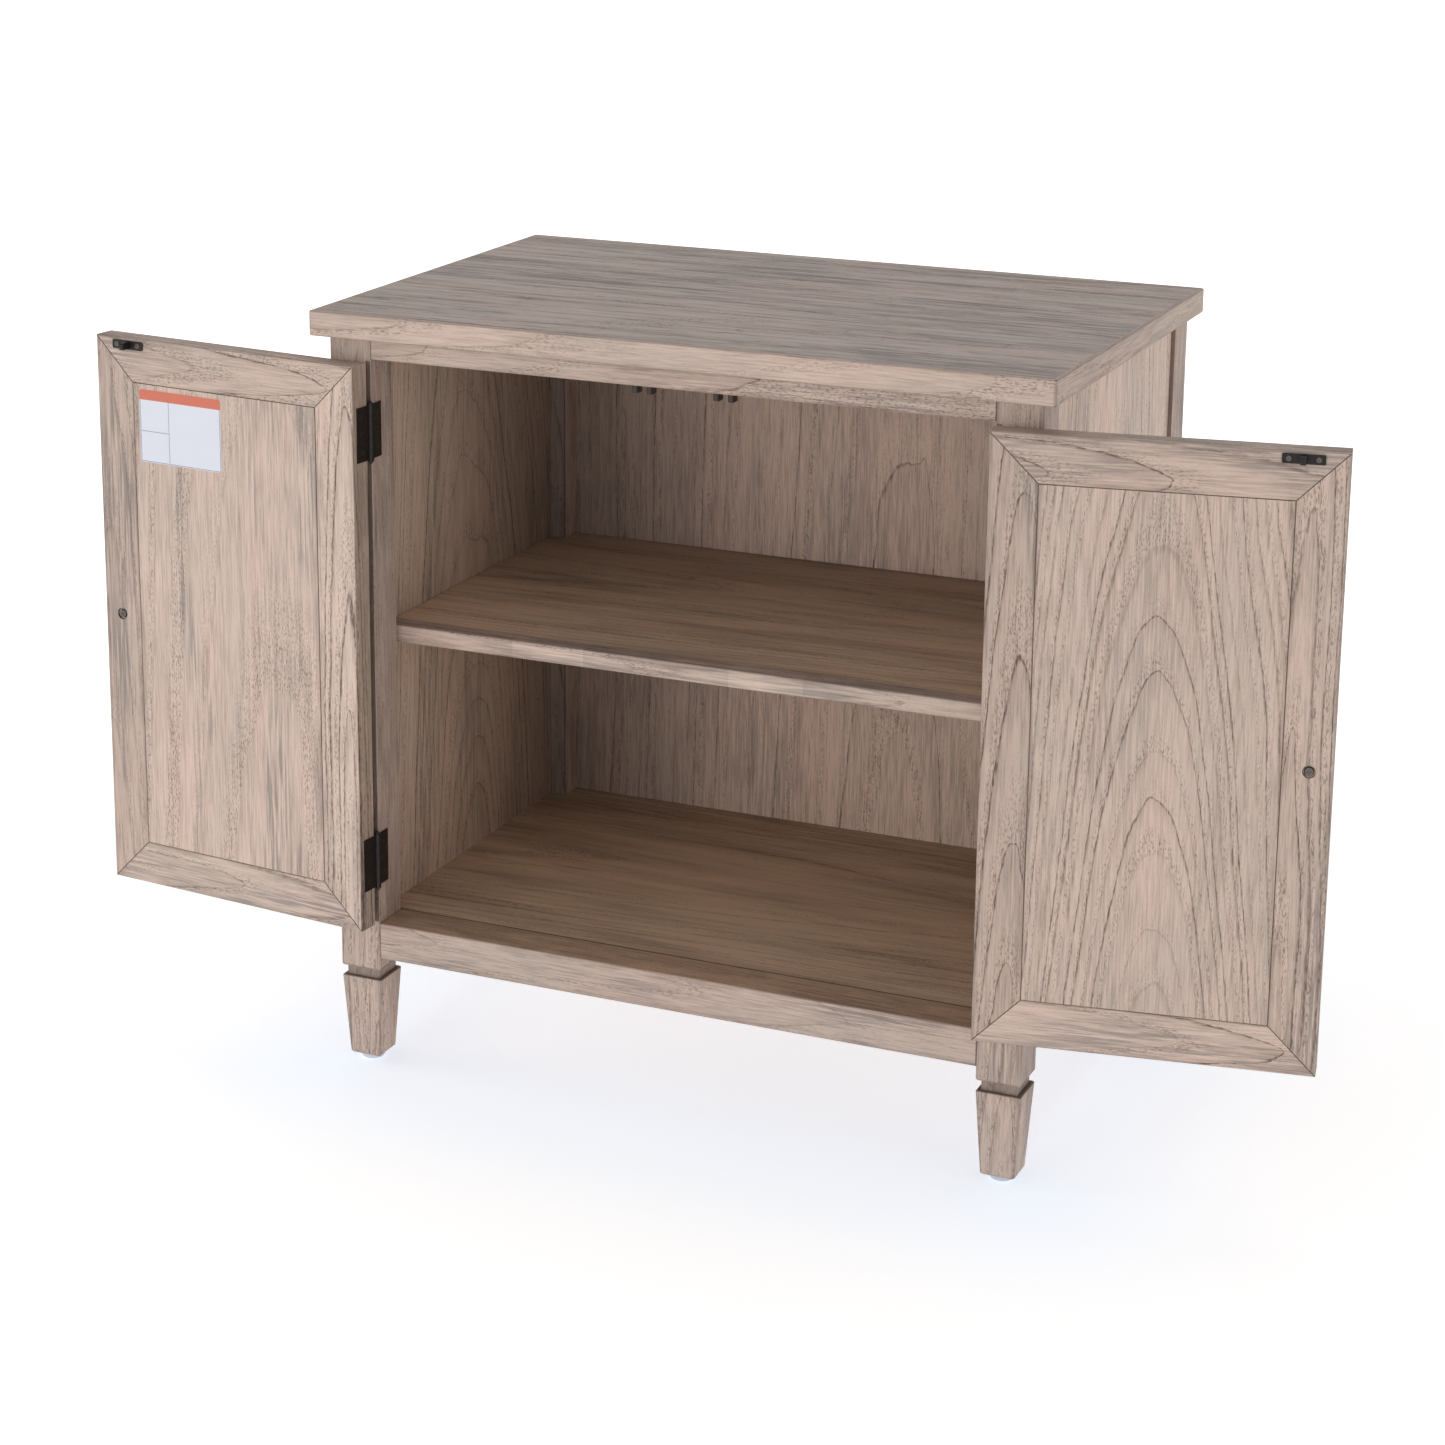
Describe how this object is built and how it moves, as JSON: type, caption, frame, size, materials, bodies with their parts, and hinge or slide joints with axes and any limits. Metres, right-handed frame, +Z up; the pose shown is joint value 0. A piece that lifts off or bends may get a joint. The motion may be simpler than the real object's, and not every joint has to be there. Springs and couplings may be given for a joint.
{
  "type": "two-door storage cabinet",
  "caption": "Small free-standing storage cabinet with inset hinged doors, one loose shelf, a square overhanging top and tapered feet, in a washed wood finish.",
  "frame": {"origin": "on the floor under the middle of the cabinet as stored, with both doors folded open", "axes": "+Z up, -Y the front, +X the right-hand side seen from the front"},
  "size_m": [1.276, 0.5201, 0.792],
  "materials": {
    "top_wood": "washed, open-pored, matt",
    "leg_wood": "washed, matt",
    "rail_wood": "washed, matt",
    "panel_wood": "washed, matt",
    "shelf_wood": "washed, matt",
    "door_wood": "washed, matt",
    "door_panel_wood": "washed, matt",
    "bronze": "dark bronze, satin",
    "steel": "zinc-plated",
    "glide_plastic": "translucent grey-white plastic"
  },
  "bodies": {
    "cabinet": {"top_core": "top_wood", "top_lipping_front": "top_wood", "top_lipping_back": "top_wood", "top_lipping_left": "top_wood", "top_lipping_right": "top_wood", "leg_front_left": "leg_wood", "foot_front_left": "leg_wood", "leg_front_right": "leg_wood", "foot_front_right": "leg_wood", "leg_rear_left": "leg_wood", "foot_rear_left": "leg_wood", "leg_rear_right": "leg_wood", "foot_rear_right": "leg_wood", "foot_glides": "glide_plastic", "side_panel_left": "panel_wood", "side_panel_right": "panel_wood", "back_panel": "panel_wood", "bottom_panel": "panel_wood", "bottom_rail_front": "rail_wood", "bottom_rail_rear": "rail_wood", "top_rail_front": "rail_wood", "top_rail_rear": "rail_wood", "shelf_pins": "steel", "left_door_lower_post_leaf": "bronze", "left_door_upper_post_leaf": "bronze", "left_door_hinge_pins": "bronze", "left_door_post_hinge_screws": "bronze", "right_door_lower_post_leaf": "bronze", "right_door_upper_post_leaf": "bronze", "right_door_hinge_pins": "bronze", "right_door_post_hinge_screws": "bronze", "left_catch": "bronze", "right_catch": "bronze"},
    "shelf": {"shelf_board": "shelf_wood", "shelf_lipping": "shelf_wood"},
    "left_door": {"left_door_stile_hinge": "door_wood", "left_door_stile_latch": "door_wood", "left_door_rail_top": "door_wood", "left_door_rail_bottom": "door_wood", "left_door_panel": "door_panel_wood", "left_door_lower_door_leaf": "bronze", "left_door_upper_door_leaf": "bronze", "left_door_door_hinge_screws": "bronze", "left_door_strike_plate": "bronze", "left_door_strike_screws": "bronze", "left_door_knob": "bronze", "left_door_knob_screw": "bronze"},
    "right_door": {"right_door_stile_hinge": "door_wood", "right_door_stile_latch": "door_wood", "right_door_rail_top": "door_wood", "right_door_rail_bottom": "door_wood", "right_door_panel": "door_panel_wood", "right_door_lower_door_leaf": "bronze", "right_door_upper_door_leaf": "bronze", "right_door_door_hinge_screws": "bronze", "right_door_strike_plate": "bronze", "right_door_strike_screws": "bronze", "right_door_knob": "bronze", "right_door_knob_screw": "bronze"}
  },
  "joints": [
    {"name": "left_door_swing", "type": "hinge", "parent": "cabinet", "child": "left_door", "pos_m": [-0.3194, -0.2323, 0.45165], "axis": [0, 0, 1], "range_deg": [-4.1, 186.1]},
    {"name": "right_door_swing", "type": "hinge", "parent": "cabinet", "child": "right_door", "pos_m": [0.3194, -0.2323, 0.45165], "axis": [0, 0, 1], "range_deg": [-189.5, 0.7]},
    {"name": "shelf_lift", "type": "slide", "parent": "cabinet", "child": "shelf", "axis": [0, 0, 1], "range_m": [0, 0.15]}
  ]
}
